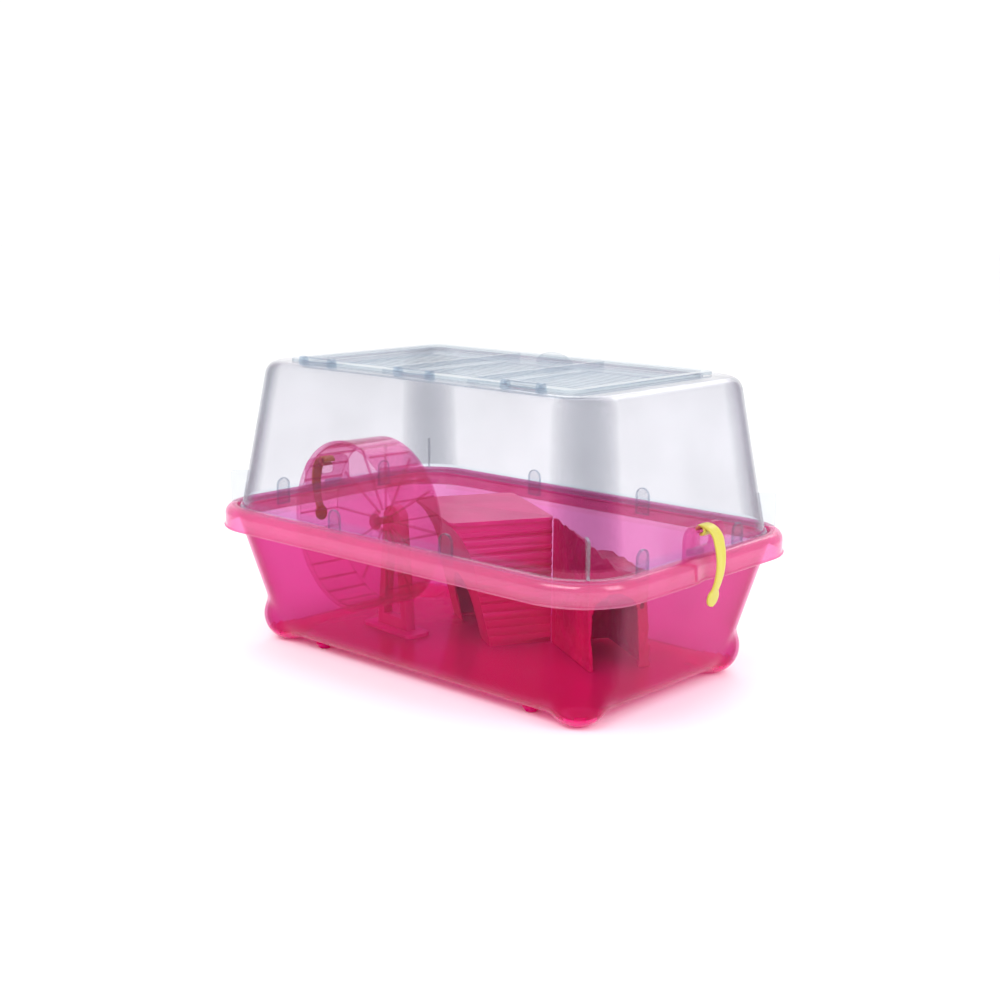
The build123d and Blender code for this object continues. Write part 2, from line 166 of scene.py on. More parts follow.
def link_piece(name, bm, materials, nodes, body, sharp=35):
    """Make the mesh a smooth-shaded piece that stands for CAD nodes and rides on their body."""
    bmesh.ops.recalc_face_normals(bm, faces=bm.faces)
    mesh = bpy.data.meshes.new(name)
    bm.to_mesh(mesh)
    bm.free()
    mesh.shade_smooth()
    mesh.set_sharp_from_angle(angle=math.radians(sharp))
    for material in materials:
        mesh.materials.append(material)
    piece = bpy.data.objects.new(name, mesh)
    bpy.context.scene.collection.objects.link(piece)
    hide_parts(*nodes)
    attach(piece, body)
    return piece


def wall_inset(z):
    """How far the tub's outer wall stands in from the rim's edge at a height."""
    return OVERHANG + (RIM_TOP - z) * DRAFT


def tub_section(inner):
    """Half of the tub's section, from the floor's middle out and up the wall: inset and height."""
    skin = TUB_WALL if inner else 0
    low = FLOOR_UNDER + skin
    radius = COVE - skin
    turn = 90 - 13.5
    foot = wall_inset(low) + skin
    middle = foot + radius * math.tan(math.radians(turn / 2))
    cove = arc(middle, low + radius, radius, 270, 270 - turn, 16)
    floor = [(middle + k * 0.0022, low) for k in range(18, 0, -1)]
    start = cove[-1][1]
    end = RIM_TOP - 0.0063 if inner else RIM_TOP - 0.0027
    heights = [start + (0.05 - start) * k / 16 for k in range(1, 17)]
    heights += [0.05 + (end - 0.05) * k / 14 for k in range(1, 15)]
    return floor + cove + [(wall_inset(z) + skin, z) for z in heights]


def tub_corner(inset, z, inner):
    """Corner radius of the tub's section at a point of it."""
    skin = TUB_WALL if inner else 0
    share = (RIM_TOP - z) / (RIM_TOP - FLOOR_UNDER)
    on_wall = TUB_CORNER + (TUB_LOW_CORNER - TUB_CORNER) * share
    return max(on_wall - skin - (inset - skin - wall_inset(z)), 0.004)


def onto_pod(point, radius):
    """Carry a point of the floor or cove out onto its round corner pod, with a soft crease."""
    half_x = rim_half.x - wall_inset(FLOOR_UNDER) - POD_INSET
    half_y = rim_half.y - wall_inset(FLOOR_UNDER) - POD_INSET
    middle = Vector((math.copysign(half_x, point.x), math.copysign(half_y, point.y), POD_RADIUS - 0.001))
    away = point - middle
    blend = 0.006
    if away.length > radius + blend:
        return point
    mix = max(blend - abs(away.length - radius), 0) / blend
    reach = max(away.length, radius) + mix * mix * blend / 4
    moved = middle + away.normalized() * reach
    moved.z = max(moved.z, 0)
    return moved


def rim_notch(point):
    """Press in the rim's outer face where each end clip lies over it."""
    half_width, deepest, inner_x, fade = 0.02, 0.0032, 0.1915, 0.005
    on_face = LIP_BOTTOM - 0.0005 <= point.z <= RIM_TOP - 0.0005
    if on_face and abs(point.x) > 0.186 and abs(point.y) < half_width:
        depth = deepest * (0.5 + 0.5 * math.cos(math.pi * abs(point.y) / half_width))
        room = min(1, max(0, (abs(point.x) - inner_x) / fade))
        point.x -= math.copysign(depth * room, point.x)
    return point


def make_tub(bm):
    """The whole tub as one closed skin, then its feet, brackets and bars."""
    def ring_at(inset, z, corner):
        return rounded_ring(rim_half.x - inset, rim_half.y - inset, corner, z)

    def wall_rings(section, inner, pod_radius):
        loops = []
        for inset, z in section:
            ring = ring_at(inset, z, tub_corner(inset, z, inner))
            loops.append([onto_pod(p, pod_radius) for p in ring] if z < POD_REACH else ring)
        return loops

    rings = wall_rings(tub_section(False), False, POD_RADIUS)
    under = arc(0.008, 0.105, 0.0048, 90, 180, 7)
    skirt = [(0.0032, 0.1), (0.0032, 0.0955), (0.003, LIP_BOTTOM), (0.0004, LIP_BOTTOM), (0, 0.0954),
             (0, 0.0962), (0.0003, 0.0966), (0.0009, 0.0969), (0.001, 0.0975), (0.001, 0.101),
             (0.001, 0.1045)]
    roll = arc(0.008, 0.105, 0.007, 180, 90, 14)
    edge = [(0.0098, RIM_TOP), (0.0104, 0.1118), (0.0107, 0.1113), (0.0108, 0.1105)]
    seat = [(0.01160, 0.1083), (0.0118, 0.108), (0.0152, 0.108), (0.01556, 0.1077), (0.01556, 0.1063),
            (0.0153, 0.106), (0.0124, 0.106)]
    for inset, z in under + skirt + roll + edge:
        corner = max(RIM_CORNER - inset, TUB_CORNER - TUB_WALL)
        rings.append([rim_notch(p) for p in ring_at(inset, z, corner)])
    for inset, z in seat:
        rings.append(ring_at(inset, z, TUB_CORNER - TUB_WALL - (inset - seat[0][0])))
    rings += wall_rings(reversed(tub_section(True)), True, POD_RADIUS - TUB_WALL)
    skin_rings(bm, rings)
    stud = [(0.0001, 0), (0.0034, 0), (0.0044, 0.0004), (0.005, 0.0014), (0.0052, 0.0026),
            (0.0064, 0.0031), (0.0066, 0.0046), (0.0001, 0.0048)]
    for sx in (-1, 1):
        for sy in (-1, 1):
            lathe(bm, stud, Matrix.Translation((sx * FOOT_SPOT.x, sy * FOOT_SPOT.y, 0)), 28)
    half_width, top, low, round_over = BRACKET_HALF_WIDTH, BRACKET_TOP, BRACKET_LOW, 0.009
    shape = [(-half_width, low), (half_width, low)]
    shape += arc(half_width - round_over, top - round_over, round_over, 0, 90, 10)
    shape += [(0.008, top), (0.007, top - 0.001), (0.007, 0.1205), (0.0055, 0.119), (-0.0055, 0.119),
              (-0.007, 0.1205), (-0.007, top - 0.001), (-0.008, top)]
    shape += arc(round_over - half_width, top - round_over, round_over, 90, 180, 10)
    upright = Matrix(((0, 0, 1, 0), (1, 0, 0, 0), (0, 1, 0, 0), (0, 0, 0, 1)))
    for side in (-1, 1):
        plate(bm, shape, BRACKET_THICKNESS, Matrix.Translation((side * BAR_X, 0, 0)) @ upright, 0.0005)
        bar = Matrix.Translation((side * BAR_X, -0.0075, BAR_Z)) @ Matrix.Rotation(-math.pi / 2, 4, "X")
        lathe(bm, [(0.0001, 0), (0.0017, 0), (0.0017, 0.015), (0.0001, 0.015)], bar, 24)


def noise_on(tree, scale, detail):
    """Noise laid through the moulding itself, so that it stays with the plastic."""
    place = tree.nodes.new("ShaderNodeTexCoord")
    texture = tree.nodes.new("ShaderNodeTexNoise")
    texture.inputs["Scale"].default_value = scale
    texture.inputs["Detail"].default_value = detail
    tree.links.new(place.outputs["Object"], texture.inputs["Vector"])
    return texture.outputs["Fac"]


def spread(tree, value, to_low, to_high, from_low=0.0, from_high=1.0):
    """Carry a value from one range to another."""
    span = tree.nodes.new("ShaderNodeMapRange")
    ends = {"From Min": from_low, "From Max": from_high, "To Min": to_low, "To Max": to_high}
    for name, end in ends.items():
        span.inputs[name].default_value = end
    tree.links.new(value, span.inputs["Value"])
    return span.outputs["Result"]


def worked_out(tree, operation, first, second):
    """One sum on one or two values."""
    node = tree.nodes.new("ShaderNodeMath")
    node.operation = operation
    for value, socket in zip((first, second), node.inputs):
        if isinstance(value, (int, float)):
            socket.default_value = value
        else:
            tree.links.new(value, socket)
    return node.outputs["Value"]


def see_through(name, tint, milk, milk_face, milk_edge, roughness, wave=0.04, gloss=0.005):
    """See-through moulded plastic: a tint that deepens where the wall is crossed at a slant, a little
    milkiness, a glossy skin with slow flow waves, fine scuffs and a drift of tone."""
    material = bpy.data.materials.new(name)
    material.use_nodes = True
    tree = material.node_tree
    nodes, links = tree.nodes, tree.links
    nodes.clear()
    drift = noise_on(tree, 13, 2)
    rubbed, patch = noise_on(tree, 900, 5), noise_on(tree, 38, 4)
    slant = nodes.new("ShaderNodeLayerWeight")
    slant.inputs["Blend"].default_value = 0.5
    facing_away = slant.outputs["Facing"]
    face_on = nodes.new("ShaderNodeValToRGB")
    face_on.color_ramp.elements[0].color = (*tint, 1)
    face_on.color_ramp.elements[1].color = (*[c ** 3 for c in tint], 1)
    middle = face_on.color_ramp.elements.new(0.45)
    middle.color = (*[c ** 1.35 for c in tint], 1)
    links.new(facing_away, face_on.inputs["Fac"])
    tinted = nodes.new("ShaderNodeVectorMath")
    tinted.operation = "SCALE"
    links.new(face_on.outputs["Color"], tinted.inputs[0])
    links.new(spread(tree, drift, 0.96, 1.0, 0.3, 0.7), tinted.inputs["Scale"])
    clear = nodes.new("ShaderNodeBsdfTransparent")
    links.new(tinted.outputs["Vector"], clear.inputs["Color"])
    bump = nodes.new("ShaderNodeBump")
    bump.inputs["Strength"].default_value = wave
    bump.inputs["Distance"].default_value = 0.004
    links.new(drift, bump.inputs["Height"])
    worn = worked_out(tree, "MULTIPLY", worked_out(tree, "MULTIPLY", rubbed, patch), 2.0)
    rough = spread(tree, worn, roughness, roughness * 2.2, 0.35, 0.75)
    body = nodes.new("ShaderNodeBsdfPrincipled")
    body.inputs["Base Color"].default_value = (*milk, 1)
    skin = nodes.new("ShaderNodeBsdfGlossy")
    skin.inputs["Color"].default_value = (1, 1, 1, 1)
    for shader in (body, skin):
        links.new(rough, shader.inputs["Roughness"])
        links.new(bump.outputs["Normal"], shader.inputs["Normal"])
    share = spread(tree, worked_out(tree, "POWER", facing_away, 3.0), milk_face, milk_edge)
    seen = nodes.new("ShaderNodeMixShader")
    links.new(share, seen.inputs["Fac"])
    links.new(clear.outputs["BSDF"], seen.inputs[1])
    links.new(body.outputs["BSDF"], seen.inputs[2])
    shine = spread(tree, worked_out(tree, "POWER", facing_away, 5.0), gloss, 0.8)
    coated = nodes.new("ShaderNodeMixShader")
    links.new(shine, coated.inputs["Fac"])
    links.new(seen.outputs["Shader"], coated.inputs[1])
    links.new(skin.outputs["BSDF"], coated.inputs[2])
    out = nodes.new("ShaderNodeOutputMaterial")
    links.new(coated.outputs["Shader"], out.inputs["Surface"])
    return material


tub_pink = see_through("tub_pink", (0.905, 0.520, 0.755), (0.80, 0.02, 0.28), 0.015, 0.36, 0.07)
rim_pink = see_through(
    "rim_pink", (0.935, 0.560, 0.780), (0.88, 0.11, 0.38), 0.18, 0.55, 0.13, gloss=0.06)
floor_pink = see_through(
    "floor_pink", (0.960, 0.220, 0.700), (0.95, 0.0015, 0.30), 0.42, 0.75, 0.12, gloss=0.003)
bracket_pink = see_through(
    "bracket_pink", (0.960, 0.720, 0.860), (0.90, 0.12, 0.40), 0.03, 0.4, 0.08)


def tub_finish(middle):
    """Which finish a face takes from where it lies: the bracket, rim, floor or wall."""
    past_x = max(abs(middle.x) - rim_half.x + RIM_CORNER, 0)
    past_y = max(abs(middle.y) - rim_half.y + RIM_CORNER, 0)
    inset = RIM_CORNER - math.hypot(past_x, past_y)
    in_bracket = abs(abs(middle.x) - BAR_X) < BRACKET_THICKNESS / 2 + 0.0004
    if in_bracket and abs(middle.y) < BRACKET_HALF_WIDTH + 0.0005 and middle.z > BRACKET_LOW - 0.0001:
        return BRACKET_FINISH
    if middle.z > LIP_BOTTOM - 0.0002 and inset < wall_inset(middle.z) + 0.003:
        return RIM_FINISH
    return FLOOR_FINISH if middle.z < FLOOR_FINISH_TOP else 0


bm = bmesh.new()
make_tub(bm)
for face in bm.faces:
    face.material_index = tub_finish(face.calc_center_median())
tub_finishes = [tub_pink, rim_pink, floor_pink, bracket_pink]
link_piece("tub", bm, tub_finishes, ["base_tub"], "base")

# Wheel stand, axle and cap
# The stand is a solid pink moulding clipped to the tub floor; a plain pin is pressed through its
# head and a stepped knob keeps the wheel on the pin.
WHEEL_X, WHEEL_Y, AXLE_HEIGHT, STAND_BEHIND = -0.093, -0.070, 0.0985, 0.0495
FLOOR_TOP, STAND_FOOT_THICKNESS = FLOOR_UNDER + TUB_WALL, 0.003
wheel_lean = Matrix.Rotation(math.radians(-6), 4, "Z")
wheel_turn = Matrix.Translation((WHEEL_X, WHEEL_Y, AXLE_HEIGHT)) @ wheel_lean


def on_axle(depth):
    """A place on the wheel's axis, so far behind its front, with Z towards the front."""
    return wheel_turn @ Matrix.Translation((0, depth, 0)) @ Matrix.Rotation(math.pi / 2, 4, "X")


def solid_moulding(name, colour, roughness, grain, grain_size, variation=0.12):
    """Solid moulded plastic with a fine grain, rubbed spots and a slow drift of colour."""
    material = bpy.data.materials.new(name)
    material.use_nodes = True
    tree = material.node_tree
    nodes, links = tree.nodes, tree.links
    body = nodes["Principled BSDF"]
    drift, fine = noise_on(tree, 22, 4), noise_on(tree, grain_size, 6)
    ramp = nodes.new("ShaderNodeValToRGB")
    pale, deep = ramp.color_ramp.elements[1], ramp.color_ramp.elements[0]
    deep.position, pale.position = 0.3, 0.72
    deep.color = (*[c * (1 - variation) for c in colour], 1)
    pale.color = (*[min(c * (1 + variation) + 0.004, 1) for c in colour], 1)
    links.new(drift, ramp.inputs["Fac"])
    links.new(ramp.outputs["Color"], body.inputs["Base Color"])
    rough = spread(tree, fine, roughness * 0.75, min(roughness * 1.35, 1))
    links.new(rough, body.inputs["Roughness"])
    bump = nodes.new("ShaderNodeBump")
    bump.inputs["Strength"].default_value = grain
    bump.inputs["Distance"].default_value = 0.0006
    links.new(fine, bump.inputs["Height"])
    links.new(bump.outputs["Normal"], body.inputs["Normal"])
    return material


stand_pink = solid_moulding("stand_pink", (0.82, 0.03, 0.34), 0.22, 0.08, 500)
hub_pink = see_through("hub_pink", (0.93, 0.45, 0.70), (0.66, 0.02, 0.24), 0.22, 0.7, 0.09)
bm = bmesh.new()
foot_z = FLOOR_TOP + STAND_FOOT_THICKNESS - AXLE_HEIGHT
column = [(-0.019, foot_z), (0.019, foot_z), *arc(0, 0, 0.011, 12, 168, 18)]
window = [(-0.011, foot_z + 0.009), (0.011, foot_z + 0.009), (0.0045, -0.02), (-0.0045, -0.02)]
plate(bm, column, 0.009, on_axle(STAND_BEHIND), 0.0008, [window])
link_piece("wheel_stand_upright", bm, [stand_pink], ["wheel_stand"], "base")
bm = bmesh.new()
foot_rings = [
    (0.031, 0.012, 0.006, 0.0062), (0.031, 0.012, 0.006, 0.0084),
    (0.0306, 0.0116, 0.0056, 0.009), (0.03, 0.011, 0.005, 0.0092),
]
foot_place = Matrix.Translation((WHEEL_X, WHEEL_Y, 0)) @ wheel_lean \
    @ Matrix.Translation((0, STAND_BEHIND, 0))
skin_rings(bm, [[foot_place @ p for p in rounded_ring(*size)] for size in foot_rings])
link_piece("wheel_stand_foot", bm, [stand_pink], ["stand_foot"], "base")
bm = bmesh.new()
pin = [(0.0001, 0), (0.0026, 0), (0.003, 0.0004), (0.003, 0.0238), (0.0026, 0.0242), (0.0001, 0.0242)]
lathe(bm, pin, on_axle(0.054), 32)
link_piece("wheel_pin", bm, [hub_pink], ["wheel_axle"], "base")
bm = bmesh.new()
knob = [
    (0.0001, 0), (0.0062, 0), (0.0065, 0.0003), (0.0065, 0.0019), (0.006, 0.0024),
    (0.0047, 0.0024), (0.0044, 0.0027), (0.0042, 0.004), (0.0038, 0.0044), (0.0022, 0.0044),
    (0.0018, 0.0036), (0.0001, 0.0034),
]
lathe(bm, knob, on_axle(0.030), 40)
link_piece("wheel_knob", bm, [hub_pink], ["axle_cap"], "base")

# Running wheel
# A clear pink drum with a thicker front ring and square rungs to run on, welded to a ribbed back
# disc whose bored hub turns on the pin.
WHEEL_RADIUS, WHEEL_DEPTH, WHEEL_WALL = 0.067, 0.042, 0.0018
RUNGS, RUNG_SIZE, SPOKES = 28, 0.0014, 12


def geometry_tree(name, sizes):
    """An empty geometry tree with named inputs, and its input and output nodes."""
    tree = bpy.data.node_groups.new(name, "GeometryNodeTree")
    tree.interface.new_socket("Geometry", in_out="OUTPUT", socket_type="NodeSocketGeometry")
    for label, kind in sizes:
        tree.interface.new_socket(label, in_out="INPUT", socket_type="NodeSocket" + kind)
    return tree, tree.nodes.new("NodeGroupInput"), tree.nodes.new("NodeGroupOutput")


def grown(tree, values):
    """Run a geometry tree with its inputs set, and give the plain mesh that it makes."""
    holder = bpy.data.objects.new(tree.name, bpy.data.meshes.new(tree.name))
    bpy.context.scene.collection.objects.link(holder)
    modifier = holder.modifiers.new(tree.name, "NODES")
    modifier.node_group = tree
    for item in tree.interface.items_tree:
        if item.in_out == "INPUT":
            modifier[item.identifier] = values[item.name]
    bpy.context.view_layer.update()
    mesh = bpy.data.meshes.new_from_object(holder.evaluated_get(bpy.context.evaluated_depsgraph_get()))
    empty = holder.data
    bpy.data.objects.remove(holder)
    bpy.data.meshes.remove(empty)
    return mesh


def ring_of_bars_tree():
    """Bars set at even angles round an axis: rungs that lie along it or ribs that point to it."""
    tree, given, out = geometry_tree("ring_of_bars", [
        ("Count", "Int"), ("Radius", "Float"), ("Bar", "Vector"), ("Height", "Float"),
        ("Material", "Material"),
    ])
    nodes, links = tree.nodes, tree.links
    circle = nodes.new("GeometryNodeMeshCircle")
    links.new(given.outputs["Count"], circle.inputs["Vertices"])
    links.new(given.outputs["Radius"], circle.inputs["Radius"])
    bar = nodes.new("GeometryNodeMeshCube")
    links.new(given.outputs["Bar"], bar.inputs["Size"])
    index = nodes.new("GeometryNodeInputIndex")
    step = worked_out(tree, "DIVIDE", 2 * math.pi, given.outputs["Count"])
    turn = nodes.new("ShaderNodeCombineXYZ")
    links.new(worked_out(tree, "MULTIPLY", index.outputs["Index"], step), turn.inputs["Z"])
    placed = nodes.new("GeometryNodeInstanceOnPoints")
    links.new(circle.outputs["Mesh"], placed.inputs["Points"])
    links.new(bar.outputs["Mesh"], placed.inputs["Instance"])
    links.new(turn.outputs["Vector"], placed.inputs["Rotation"])
    rise = nodes.new("ShaderNodeCombineXYZ")
    links.new(given.outputs["Height"], rise.inputs["Z"])
    moved = nodes.new("GeometryNodeTransform")
    links.new(placed.outputs["Instances"], moved.inputs["Geometry"])
    links.new(rise.outputs["Vector"], moved.inputs["Translation"])
    real = nodes.new("GeometryNodeRealizeInstances")
    links.new(moved.outputs["Geometry"], real.inputs["Geometry"])
    finish = nodes.new("GeometryNodeSetMaterial")
    links.new(real.outputs["Geometry"], finish.inputs["Geometry"])
    links.new(given.outputs["Material"], finish.inputs["Material"])
    links.new(finish.outputs["Geometry"], out.inputs["Geometry"])
    return tree


def add_grown(bm, mesh, place, material=0):
    """Add a grown mesh to a piece at a place."""
    mesh.transform(place)
    start = len(bm.faces)
    bm.from_mesh(mesh)
    bm.faces.ensure_lookup_table()
    for face in bm.faces[start:]:
        face.material_index = material
    bpy.data.meshes.remove(mesh)


wheel_pink = see_through("wheel_pink", (0.972, 0.76, 0.88), (0.86, 0.14, 0.42), 0.02, 0.42, 0.06)
rung_pink = see_through("rung_pink", (0.955, 0.66, 0.82), (0.88, 0.10, 0.40), 0.06, 0.5, 0.06)
ring_of_bars = ring_of_bars_tree()
wheel_rear = on_axle(WHEEL_DEPTH)
bm = bmesh.new()
drum = [
    (WHEEL_RADIUS - WHEEL_WALL, WHEEL_WALL), (WHEEL_RADIUS, WHEEL_WALL), (WHEEL_RADIUS, 0.0396),
    (WHEEL_RADIUS + 0.0006, 0.0399), (WHEEL_RADIUS + 0.0006, 0.0417), (WHEEL_RADIUS + 0.0003, 0.042),
    (WHEEL_RADIUS - 0.0031, 0.042), (WHEEL_RADIUS - 0.0034, 0.0417), (WHEEL_RADIUS - 0.0034, 0.0399),
    (WHEEL_RADIUS - 0.0031, 0.0396), (WHEEL_RADIUS - WHEEL_WALL, 0.0396),
]
lathe(bm, drum, wheel_rear, 144, closed=True)
rungs = grown(ring_of_bars, {
    "Count": RUNGS, "Radius": WHEEL_RADIUS - WHEEL_WALL - RUNG_SIZE / 2 + 0.0003,
    "Bar": (RUNG_SIZE, RUNG_SIZE, 0.0372), "Height": 0.0208, "Material": rung_pink,
})
add_grown(bm, rungs, wheel_rear, 1)
link_piece("wheel_drum_tube", bm, [wheel_pink, rung_pink], ["wheel_drum"], "wheel")
bm = bmesh.new()
disc = [
    (0.00306, 0), (WHEEL_RADIUS - 0.0003, 0), (WHEEL_RADIUS, 0.0003), (WHEEL_RADIUS, WHEEL_WALL - 0.0001),
    (0.0102, WHEEL_WALL - 0.0001), (0.0094, 0.0022), (0.009, 0.003), (0.009, 0.0103), (0.0085, 0.0108),
    (0.0062, 0.0108), (0.0058, 0.0104), (0.0054, 0.0104), (0.005, 0.0108), (0.0034, 0.0108),
    (0.00306, 0.0105),
]
lathe(bm, disc, wheel_rear, 144, closed=True)
rib_length = WHEEL_RADIUS - WHEEL_WALL - RUNG_SIZE - 0.010
ribs = grown(ring_of_bars, {
    "Count": SPOKES, "Radius": 0.0085 + rib_length / 2, "Bar": (rib_length, 0.0016, 0.0014),
    "Height": WHEEL_WALL + 0.0006, "Material": rung_pink,
})
add_grown(bm, ribs, wheel_rear, 1)
link_piece("wheel_back_disc", bm, [wheel_pink, rung_pink], ["wheel_back"], "wheel")

# Den and deck
# A solid pink moulding that leans out to a flat deck, hollow below, with an arched doorway and one
# ridged side for climbing. It stands on the tub floor, a little askew.


def welded(node):
    """A welded copy of a CAD node's mesh, ready to be worked on."""
    bm = bmesh.new()
    bm.from_mesh(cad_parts[node].data)
    bmesh.ops.remove_doubles(bm, verts=bm.verts, dist=2e-6)
    bmesh.ops.dissolve_limit(bm, angle_limit=math.radians(0.5), verts=bm.verts, edges=bm.edges)
    bmesh.ops.triangulate(bm, faces=bm.faces)
    return bm


den_pink = solid_moulding("den_pink", (0.74, 0.004, 0.20), 0.38, 0.22, 420)
link_piece("den_walls", welded("den_body"), [den_pink], ["den_body"], "base", 28)
link_piece("den_deck", welded("deck"), [den_pink], ["deck"], "base", 28)

# Rock cave
# A hollow moulded rock in the same solid pink, craggy along its top, with an arched way in.
rock_pink = solid_moulding("rock_pink", (0.66, 0.002, 0.15), 0.5, 0.5, 260, 0.2)
bm = welded("rock_cave")
mesh = bpy.data.meshes.new("rock_block")
bm.to_mesh(mesh)
bm.free()
block = bpy.data.objects.new("rock_block", mesh)
bpy.context.scene.collection.objects.link(block)
remesh = block.modifiers.new("voxels", "REMESH")
remesh.mode = "VOXEL"
remesh.voxel_size = 0.0011
craggy = bpy.data.meshes.new_from_object(block.evaluated_get(bpy.context.evaluated_depsgraph_get()))
bpy.data.objects.remove(block)
bm = bmesh.new()
bm.from_mesh(craggy)
low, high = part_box("rock_cave")
moves = []
for vert in bm.verts:
    p = vert.co
    grit = noise.fractal(p * 95, 0.9, 2.1, 4) * 0.0011
    crags = noise.ridged_multi_fractal(p * 38, 1.0, 2.0, 3, 1.0, 2.0) * 0.0009
    off_floor = min(1, max(0, (p.z - low.z - 0.001) / 0.004))
    off_den = min(1, max(0, (p.x - low.x) / 0.006))
    moves.append(-vert.normal * max(grit + crags, 0) * (off_floor * off_den))
for vert, move in zip(bm.verts, moves):
    moved = vert.co + move
    vert.co = Vector([min(max(moved[k], low[k]), high[k]) for k in range(3)])
link_piece("rock_shell", bm, [rock_pink], ["rock_cave"], "base", 75)

# Clear cover
# A deep clear hood, moulded in one: it drops onto a ledge inside the rim on a small bead, with
# thin fins at its corners, arched guide tongues inside and bored lugs for the roof door's pins.
COVER_HALF, COVER_BASE, COVER_TOP = Vector((0.18634, 0.11734)), 0.1083, 0.2253
COVER_WALL, COVER_CORNER, DRAW_IN, TIGHTEN, SHOULDER = 0.0018, 0.0378, 0.018, 0.006, 0.011
OPENING = (0.138, 0.079, 0.007)
EDGE_FINISH, FIN_FINISH, FOOT_BAND, FIN_BASE, ROOF_SHARE = 1, 2, 0.0075, 0.1126, 0.99
HINGE_Y, HINGE_Z, KNUCKLE_SPACING = -0.0874, 0.2286, 0.103


def cover_ring(extra, z, skin=0.0):
    """A loop of the cover's wall at a height, drawn in by an extra amount and a skin thickness."""
    share = (z - COVER_BASE) / (COVER_TOP - COVER_BASE)
    inset = DRAW_IN * share + extra + skin
    corner = COVER_CORNER - TIGHTEN * share - extra - skin
    return rounded_ring(COVER_HALF.x - inset, COVER_HALF.y - inset, corner, z)


